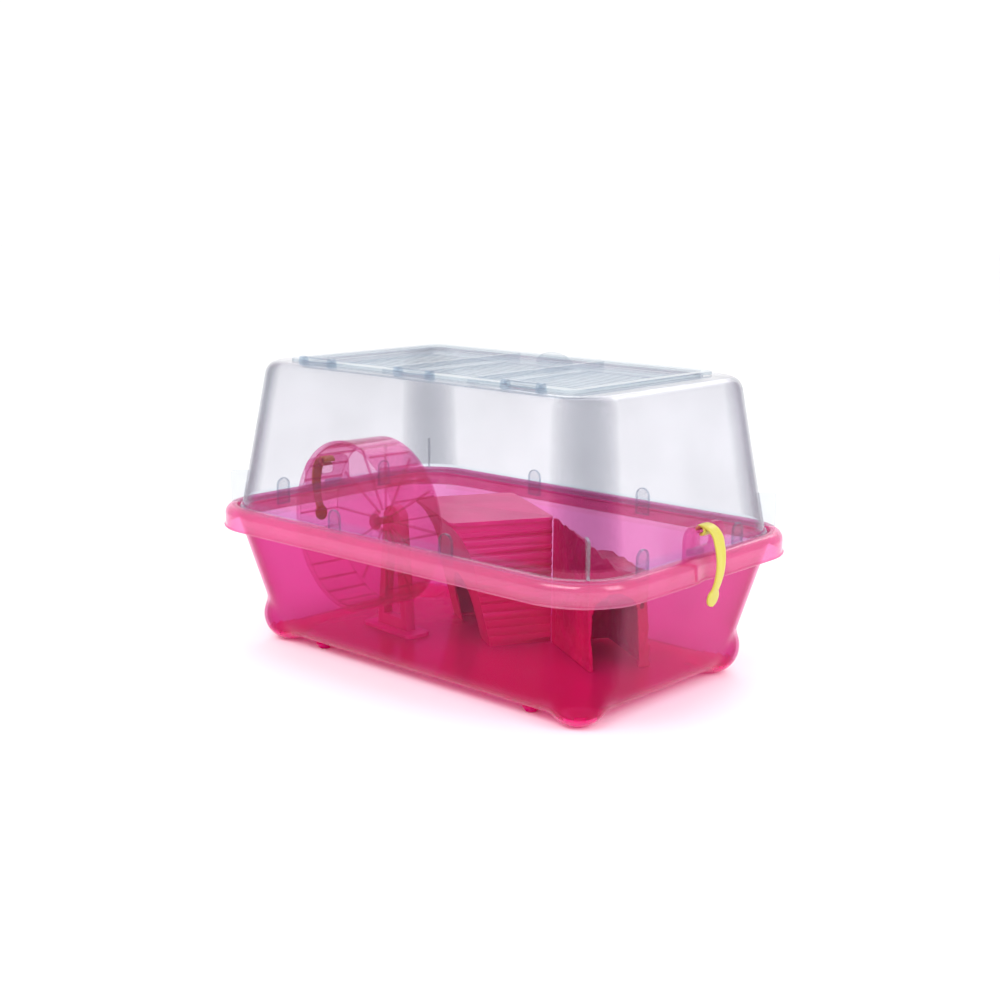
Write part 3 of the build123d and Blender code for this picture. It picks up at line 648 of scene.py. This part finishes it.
def make_cover(bm):
    """The hood as one closed skin, its bead first, then fins, tongues, catches and hinge lugs."""
    slope = math.degrees(math.atan(DRAW_IN / (COVER_TOP - COVER_BASE)))
    reach = SHOULDER * math.tan(math.radians((90 - slope) / 2))
    middle = DRAW_IN + reach
    high = COVER_TOP - SHOULDER
    bead_top = COVER_BASE + 0.0031
    rings = [cover_ring(-0.001, COVER_BASE), cover_ring(-0.0014, COVER_BASE + 0.0004),
             cover_ring(-0.0014, COVER_BASE + 0.0026), cover_ring(-0.001, COVER_BASE + 0.003),
             cover_ring(0, bead_top)]
    rings += [cover_ring(0, bead_top + (high - 0.0035 - COVER_BASE) * k / 26) for k in range(1, 27)]
    outer_arc = arc(middle, high, SHOULDER, 180 - slope, 90, 12)
    inner_arc = arc(middle, high, SHOULDER - COVER_WALL, 90, 180 - slope, 12)

    def shoulder_ring(inset, z):
        share = (z - COVER_BASE) / (COVER_TOP - COVER_BASE)
        corner = COVER_CORNER - TIGHTEN * share - (inset - DRAW_IN * share)
        return rounded_ring(COVER_HALF.x - inset, COVER_HALF.y - inset, corner, z)

    rings += [shoulder_ring(*point) for point in outer_arc]
    shoulder_sizes = (COVER_HALF.x - middle, COVER_HALF.y - middle, COVER_CORNER - TIGHTEN - reach)

    def roof_ring(share, z):
        sizes = [a + (b - a) * share for a, b in zip(shoulder_sizes, OPENING)]
        return rounded_ring(*sizes, z)

    rings += [roof_ring(share, COVER_TOP) for share in (0.5, 0.97)]
    rings.append(rounded_ring(*OPENING, COVER_TOP - 0.0003))
    rings.append(rounded_ring(*OPENING, COVER_TOP - COVER_WALL + 0.0003))
    rings += [roof_ring(share, COVER_TOP - COVER_WALL) for share in (0.97, 0.5)]
    rings += [shoulder_ring(*point) for point in inner_arc]
    inner_top = inner_arc[-1][1]
    drop = COVER_BASE - inner_top
    rings += [cover_ring(0, inner_top + drop * k / 26, COVER_WALL) for k in range(1, 27)]
    skin_rings(bm, rings, closed=True)
    for face in bm.faces:
        if face.calc_center_median().z < COVER_BASE + FOOT_BAND:
            face.material_index = EDGE_FINISH
    middle_x, middle_y = COVER_HALF.x - COVER_CORNER, COVER_HALF.y - COVER_CORNER
    fin_in, fin_out, fin_tall = COVER_CORNER - 0.0032, COVER_CORNER + 0.0079, 0.0255
    fin = [(fin_in, 0), (fin_out, 0), (fin_out, fin_tall - 0.002), (fin_out - 0.0006, fin_tall - 0.0006),
           (fin_out - 0.002, fin_tall), (fin_in - 0.0028, fin_tall)]
    upright = Matrix.Rotation(math.pi / 2, 4, "X")
    across = Matrix.Rotation(math.pi / 2, 4, "Z")
    for sx in (-1, 1):
        for sy in (-1, 1):
            root = Matrix.Translation((sx * middle_x, sy * middle_y, FIN_BASE))
            turn = Matrix.Rotation(math.atan2(sy, sx), 4, "Z") @ upright
            plate(bm, fin, 0.002, root @ turn, 0.0003, material=FIN_FINISH)
    tongue = [(-0.0065, 0), (0.0065, 0), *arc(0, 0.0155, 0.0065, 0, 180, 16)]
    tongue_inside = [(-0.0056, 0.0009), (0.0056, 0.0009), *arc(0, 0.0155, 0.0056, 0, 180, 16)]
    inner_x, inner_y, tongue_z = COVER_HALF.x - 0.0035, COVER_HALF.y - 0.0035, COVER_BASE - 0.006
    along_end, along_side = 0.057, 0.057
    for sx in (-1, 1):
        for sy in (-1, 1):
            end = Matrix.Translation((sx * inner_x, sy * along_end, tongue_z)) @ across @ upright
            side = Matrix.Translation((sx * along_side, sy * inner_y, tongue_z)) @ upright
            for spot in (end, side):
                plate(bm, tongue, 0.0014, spot, 0.0002)
                plate(bm, tongue, 0.002, spot, 0.0003, [tongue_inside], EDGE_FINISH)
        step = [(-0.008, 0), (0.008, 0), (0.008, 0.0034), (0.0074, 0.004), (-0.0074, 0.004),
                (-0.008, 0.0034)]
        catch = Matrix.Translation((sx * (COVER_HALF.x - 0.0008), 0, COVER_BASE + 0.003))
        plate(bm, step, 0.0044, catch @ across @ upright, 0.0004, material=EDGE_FINISH)
    lug = [(0.0028, -0.0043), *arc(0, 0, 0.0028, 0, 180, 16), (-0.0028, -0.0043)]
    bore = arc(0, 0, 0.00156, 0, 345, 23)
    along = Matrix(((0, 0, 1, 0), (1, 0, 0, 0), (0, 1, 0, 0), (0, 0, 0, 1)))
    for k in (-1, 0, 1):
        for side in (-1, 1):
            lug_x = k * KNUCKLE_SPACING + side * 0.0159
            spot = Matrix.Translation((lug_x, HINGE_Y, HINGE_Z)) @ along
            plate(bm, lug, 0.005, spot, 0.0002, [bore], EDGE_FINISH)


def paint_corner_shade(material, dark):
    """Painted shade: darken a see-through plastic's tint by a mask stored on the mesh, for the darker
    look of the cover's rounded corners.
    """
    tree = material.node_tree
    through = next(n for n in tree.nodes if n.type == "BSDF_TRANSPARENT")
    before = through.inputs["Color"].links[0].from_socket
    corner_shade_mask = tree.nodes.new("ShaderNodeAttribute")
    corner_shade_mask.attribute_name = "corner_shade"
    deeper = tree.nodes.new("ShaderNodeMix")
    deeper.data_type = "RGBA"
    deeper.blend_type = "MULTIPLY"
    sockets = [i for i in deeper.inputs if i.type == "RGBA"]
    sockets[1].default_value = (*dark, 1)
    tree.links.new(before, sockets[0])
    tree.links.new(corner_shade_mask.outputs["Fac"], deeper.inputs["Factor"])
    tree.links.new([o for o in deeper.outputs if o.type == "RGBA"][0], through.inputs["Color"])


clear = see_through(
    "clear", (0.930, 0.930, 0.943), (0.62, 0.64, 0.70), 0.002, 0.36, 0.05, wave=0.03)
clear_edge = see_through("clear_edge", (0.90, 0.93, 0.955), (0.46, 0.52, 0.62), 0.03, 0.55, 0.06)
fin_clear = see_through("fin_clear", (0.900, 0.912, 0.930), (0.60, 0.63, 0.68), 0.10, 0.6, 0.08)
# Painted shade: the cover's rounded upright corners get a darker grey tint, set by a mask on the mesh.
paint_corner_shade(clear, (0.74, 0.75, 0.77))
bm = bmesh.new()
make_cover(bm)
corner_shade = bm.verts.layers.float.new("corner_shade")
# Painted shade mask: strongest in the middle of each rounded upright corner, none on the flat walls or
# the roof.
for vert in bm.verts:
    share = min(max((vert.co.z - COVER_BASE) / (COVER_TOP - COVER_BASE), 0), 1)
    corner = COVER_CORNER - TIGHTEN * share
    out_x = abs(vert.co.x) - (COVER_HALF.x - DRAW_IN * share - corner)
    out_y = abs(vert.co.y) - (COVER_HALF.y - DRAW_IN * share - corner)
    if out_x > 0 and out_y > 0 and share < ROOF_SHARE:
        vert[corner_shade] = math.sin(2 * math.atan2(out_y, out_x)) ** 0.8
link_piece("cover_hood", bm, [clear, clear_edge, fin_clear], ["top_cover"], "cover", 30)

# Roof door
# A clear door moulded in one: a raised border, a sunk panel with three bays of thin slots for air,
# two cross ribs and an arched finger tab, on round knuckles whose pins sit in the cover's lugs.


def slotted_panel_tree():
    """A flat panel with bays of rows of slots through it, the slots' corners cut off."""
    tree, given, out = geometry_tree("slotted_panel", [
        ("Panel Length", "Float"), ("Panel Width", "Float"), ("Panel Corner", "Float"),
        ("Thickness", "Float"), ("Slot Length", "Float"), ("Slot Width", "Float"), ("Bays", "Int"),
        ("Bay Span", "Float"),
        ("Rows", "Int"), ("Row Span", "Float"), ("Row Shift", "Float"), ("Material", "Material"),
    ])
    nodes, links = tree.nodes, tree.links
    slot = nodes.new("GeometryNodeCurvePrimitiveQuadrilateral")
    links.new(given.outputs["Slot Length"], slot.inputs["Width"])
    links.new(given.outputs["Slot Width"], slot.inputs["Height"])
    slot_end = worked_out(tree, "MULTIPLY", given.outputs["Slot Width"], 0.498)
    border = nodes.new("GeometryNodeCurvePrimitiveQuadrilateral")
    links.new(given.outputs["Panel Length"], border.inputs["Width"])
    links.new(given.outputs["Panel Width"], border.inputs["Height"])
    rounded = []
    for source, radius in ((slot, slot_end), (border, given.outputs["Panel Corner"])):
        fillet = nodes.new("GeometryNodeFilletCurve")
        fillet.mode = "POLY"
        fillet.inputs["Limit Radius"].default_value = True
        links.new(source.outputs["Curve"], fillet.inputs["Curve"])
        links.new(radius, fillet.inputs["Radius"])
        rounded.append(fillet)
    grid = nodes.new("GeometryNodeMeshGrid")
    grid_sizes = {"Bay Span": "Size X", "Row Span": "Size Y", "Bays": "Vertices X", "Rows": "Vertices Y"}
    for name, socket in grid_sizes.items():
        links.new(given.outputs[name], grid.inputs[socket])
    placed = nodes.new("GeometryNodeInstanceOnPoints")
    links.new(grid.outputs["Mesh"], placed.inputs["Points"])
    links.new(rounded[0].outputs["Curve"], placed.inputs["Instance"])
    shift = nodes.new("ShaderNodeCombineXYZ")
    links.new(given.outputs["Row Shift"], shift.inputs["Y"])
    moved = nodes.new("GeometryNodeTransform")
    links.new(placed.outputs["Instances"], moved.inputs["Geometry"])
    links.new(shift.outputs["Vector"], moved.inputs["Translation"])
    real = nodes.new("GeometryNodeRealizeInstances")
    links.new(moved.outputs["Geometry"], real.inputs["Geometry"])
    lines = nodes.new("GeometryNodeJoinGeometry")
    links.new(real.outputs["Geometry"], lines.inputs["Geometry"])
    links.new(rounded[1].outputs["Curve"], lines.inputs["Geometry"])
    filled = nodes.new("GeometryNodeFillCurve")
    links.new(lines.outputs["Geometry"], filled.inputs["Curve"])
    up = nodes.new("ShaderNodeCombineXYZ")
    up.inputs["Z"].default_value = 1
    raised = nodes.new("GeometryNodeExtrudeMesh")
    raised.inputs["Individual"].default_value = False
    links.new(filled.outputs["Mesh"], raised.inputs["Mesh"])
    links.new(up.outputs["Vector"], raised.inputs["Offset"])
    links.new(given.outputs["Thickness"], raised.inputs["Offset Scale"])
    under = nodes.new("GeometryNodeFlipFaces")
    links.new(filled.outputs["Mesh"], under.inputs["Mesh"])
    whole = nodes.new("GeometryNodeJoinGeometry")
    links.new(raised.outputs["Mesh"], whole.inputs["Geometry"])
    links.new(under.outputs["Mesh"], whole.inputs["Geometry"])
    welded_up = nodes.new("GeometryNodeMergeByDistance")
    welded_up.inputs["Distance"].default_value = 0.00001
    links.new(whole.outputs["Geometry"], welded_up.inputs["Geometry"])
    final = nodes.new("GeometryNodeRealizeInstances")
    links.new(welded_up.outputs["Geometry"], final.inputs["Geometry"])
    finish = nodes.new("GeometryNodeSetMaterial")
    links.new(final.outputs["Geometry"], finish.inputs["Geometry"])
    links.new(given.outputs["Material"], finish.inputs["Material"])
    links.new(finish.outputs["Geometry"], out.inputs["Geometry"])
    return tree


door_clear = see_through(
    "door_clear", (0.905, 0.93, 0.947), (0.56, 0.61, 0.67), 0.05, 0.55, 0.07, wave=0.03)
door_edge = see_through("door_edge", (0.945, 0.958, 0.97), (0.50, 0.55, 0.62), 0.03, 0.45, 0.06)
RIB_X, RIB_LOW, RIB_THICKNESS = 0.043, 0.22292, 0.0024
bm = bmesh.new()
panel = grown(slotted_panel_tree(), {
    "Panel Length": 0.2748, "Panel Width": 0.1568, "Panel Corner": 0.0064, "Thickness": 0.0022,
    "Slot Length": 0.078, "Slot Width": 0.0038, "Bays": 3, "Bay Span": 0.172, "Rows": 14,
    "Row Span": 0.091, "Row Shift": 0.005, "Material": door_clear,
})
add_grown(bm, panel, Matrix.Translation((0, 0, 0.2207)))
border = [
    (0.1430, 0.0840, 0.0100, 0.2256), (0.1430, 0.0840, 0.0100, 0.2273), (0.1425, 0.0835, 0.0095, 0.2278),
    (0.1360, 0.0770, 0.0050, 0.2278), (0.1355, 0.0765, 0.0045, 0.2274), (0.1354, 0.0764, 0.0044, 0.22293),
    (0.1374, 0.0784, 0.0064, 0.22293), (0.1374, 0.0784, 0.0064, 0.2256),
]
skin_rings(bm, [rounded_ring(*size) for size in border], closed=True)
rib = [(-0.0764, 0), (0.0764, 0), (0.0764, 0.0044), (0.076, 0.0048), (-0.076, 0.0048), (-0.0764, 0.0044)]
for side in (-1, 1):
    stand_up = Matrix(((0, 0, 1, side * RIB_X), (1, 0, 0, 0), (0, 1, 0, RIB_LOW), (0, 0, 0, 1)))
    plate(bm, rib, RIB_THICKNESS, stand_up, 0.0003, material=EDGE_FINISH)
tab_angles = [math.pi * k / 28 for k in range(29)]
tab = [(0.018 * math.cos(a), 0.00894 * math.sin(a)) for a in tab_angles]
tab_spot = Matrix.Translation((0, 0.0694, RIB_LOW)) @ Matrix.Rotation(math.pi / 2, 4, "X")
plate(bm, tab, 0.0024, tab_spot, 0.0004, material=EDGE_FINISH)
knuckle = [
    (0.0001, -0.0188), (0.0013, -0.0188), (0.0015, -0.0186), (0.0015, -0.013), (0.0025, -0.013),
    (0.0028, -0.0127), (0.0028, 0.0127), (0.0025, 0.013), (0.0015, 0.013), (0.0015, 0.0186),
    (0.0013, 0.0188), (0.0001, 0.0188),
]
leaf = [(-0.013, 0), (0.013, 0), (0.013, 0.0067), (-0.013, 0.0067)]
for k in (-1, 0, 1):
    x = k * KNUCKLE_SPACING
    side_on = Matrix.Translation((x, HINGE_Y, HINGE_Z)) @ Matrix.Rotation(math.pi / 2, 4, "Y")
    lathe(bm, knuckle, side_on, 28, material=EDGE_FINISH)
    leaf_spot = Matrix.Translation((x, HINGE_Y + 0.0001, 0.2267))
    plate(bm, leaf, 0.0022, leaf_spot, 0.0003, material=EDGE_FINISH)
link_piece("roof_door_moulding", bm, [door_clear, door_edge], ["roof_door"], "door", 30)

# End clips
# Two bowed straps in solid yellow plastic. Each snaps round its bracket's bar, bows over the rim
# and ends in a round paddle for a thumb; a shallow groove runs down its outer face.
clip_yellow = solid_moulding("clip_yellow", (0.56, 0.49, 0.07), 0.3, 0.06, 600, 0.07)
CURL_RADIUS, BOW_RADIUS, STRAP_THICKNESS = 0.003055, 0.0125, 0.0025
STRAP_WIDTH, NECK_NARROWING, HOOK_WIDTH, PADDLE_RADIUS = 0.0112, 0.0034, 0.0108, 0.0065
GROOVE_DEPTH, GROOVE_WIDTH, SQUARENESS, STRAP_SIDES = 0.00055, 0.0017, 0.55, 32


def sweep_strap(bm, path, widths, grooves, side):
    """A strap of rounded section along a path in the XZ plane, mirrored to its end of the cage."""
    rings = []
    for k, (x, z) in enumerate(path):
        ax, az = path[max(k - 1, 0)]
        bx, bz = path[min(k + 1, len(path) - 1)]
        run = Vector((bx - ax, bz - az)).normalized()
        outward = Vector((-run.y, run.x))
        ring = []
        for step in range(STRAP_SIDES):
            a = 2 * math.pi * step / STRAP_SIDES
            cos, sin = math.cos(a), math.sin(a)
            across = widths[k] / 2 * math.copysign(abs(cos) ** SQUARENESS, cos)
            through = STRAP_THICKNESS / 2 * math.copysign(abs(sin) ** SQUARENESS, sin)
            if through > 0:
                through -= grooves[k] * math.exp(-(across / GROOVE_WIDTH) ** 2)
            ring.append(Vector((side * (x + outward.x * through), across, z + outward.y * through)))
        rings.append(ring)
    skin_rings(bm, rings)


def strap_path():
    """Points down the middle of the strap from the curl, over the bow to the paddle's end."""
    curl = arc(BAR_X, BAR_Z, CURL_RADIUS, 189, 90, 12)
    top = arc(BAR_X, BAR_Z + CURL_RADIUS - BOW_RADIUS, BOW_RADIUS, 90, 10, 16)[1:]
    start, waist, tuck = Vector(top[-1]), Vector((0.207, 0.105)), Vector((0.2021, 0.087))
    bend = waist * 2 - (start + tuck) / 2
    steps = [k / 22 for k in range(1, 23)]
    low = [start * (1 - t) ** 2 + bend * 2 * t * (1 - t) + tuck * t * t for t in steps]
    foot = [(tuck.x - 0.0001 * k, tuck.y - 0.0101 * (k / 18)) for k in range(1, 19)]
    return curl + top + [tuple(p) for p in low] + foot


path = strap_path()
lengths = [0]
for (ax, az), (bx, bz) in zip(path, path[1:]):
    lengths.append(lengths[-1] + math.hypot(bx - ax, bz - az))
widths, grooves = [], []
for at in lengths:
    left = lengths[-1] - at
    from_middle = PADDLE_RADIUS - min(left, 2 * PADDLE_RADIUS)
    paddle = 2 * math.sqrt(max(PADDLE_RADIUS ** 2 - from_middle ** 2, 1e-8))
    strap = STRAP_WIDTH - NECK_NARROWING * min(1, max(0, (at - 0.022) / 0.03))
    widths.append(max(strap if left > PADDLE_RADIUS else 0, paddle if left < 0.0115 else 0))
    begun, ending = min(1, max(0, (at - 0.010) / 0.006)), min(1, max(0, (0.048 - at) / 0.012))
    grooves.append(GROOVE_DEPTH * begun * ending)
hook = arc(BAR_X, BAR_Z, CURL_RADIUS, 78, -99, 20)
for side, name in ((1, "right_clip"), (-1, "left_clip")):
    bm = bmesh.new()
    sweep_strap(bm, path, widths, grooves, side)
    sweep_strap(bm, hook, [HOOK_WIDTH] * len(hook), [0] * len(hook), side)
    link_piece(name + "_strap", bm, [clip_yellow], [name], name, 60)

# Studio
# A pale floor that runs far back, an even white surround and three big soft lights. A ray may cross
# many see-through skins before it stops, because the wheel stands behind several moulded walls.
FLOOR_REACH = 9
floor_mesh = bpy.data.meshes.new("floor")
floor_corners = [(x * FLOOR_REACH, y * FLOOR_REACH, 0) for x, y in ((-1, -1), (1, -1), (1, 1), (-1, 1))]
floor_mesh.from_pydata(floor_corners, [], [(0, 1, 2, 3)])
floor = bpy.data.objects.new("floor", floor_mesh)
bpy.context.scene.collection.objects.link(floor)
paper = bpy.data.materials.new("paper")
paper.use_nodes = True
paper_body = paper.node_tree.nodes["Principled BSDF"]
paper_body.inputs["Base Color"].default_value = (0.955, 0.955, 0.955, 1)
paper_body.inputs["Roughness"].default_value = 0.8
floor_mesh.materials.append(paper)
bpy.context.scene.view_settings.view_transform = "Standard"
bpy.context.scene.cycles.transparent_max_bounces = 32
world = bpy.data.worlds.new("studio")
bpy.context.scene.world = world
world.use_nodes = True
surround = world.node_tree.nodes["Background"]
surround.inputs["Color"].default_value = (1, 1, 1, 1)
surround.inputs["Strength"].default_value = 1.06


def softbox(name, place, size, power):
    """A big soft light that looks at the cage."""
    data = bpy.data.lights.new(name, "AREA")
    data.shape = "RECTANGLE"
    data.size, data.size_y = size
    data.energy = power
    light = bpy.data.objects.new(name, data)
    light.location = place
    light.rotation_euler = (Vector(place) - Vector((0, 0, 0.12))).to_track_quat("Z", "Y").to_euler()
    bpy.context.scene.collection.objects.link(light)


softbox("key", (0.1, -1.2, 1.5), (1.5, 0.7), 14)
softbox("side", (1.6, 0.1, 1.1), (0.7, 1.2), 9)
softbox("back", (-0.6, 1.5, 1.3), (1.6, 0.8), 8)
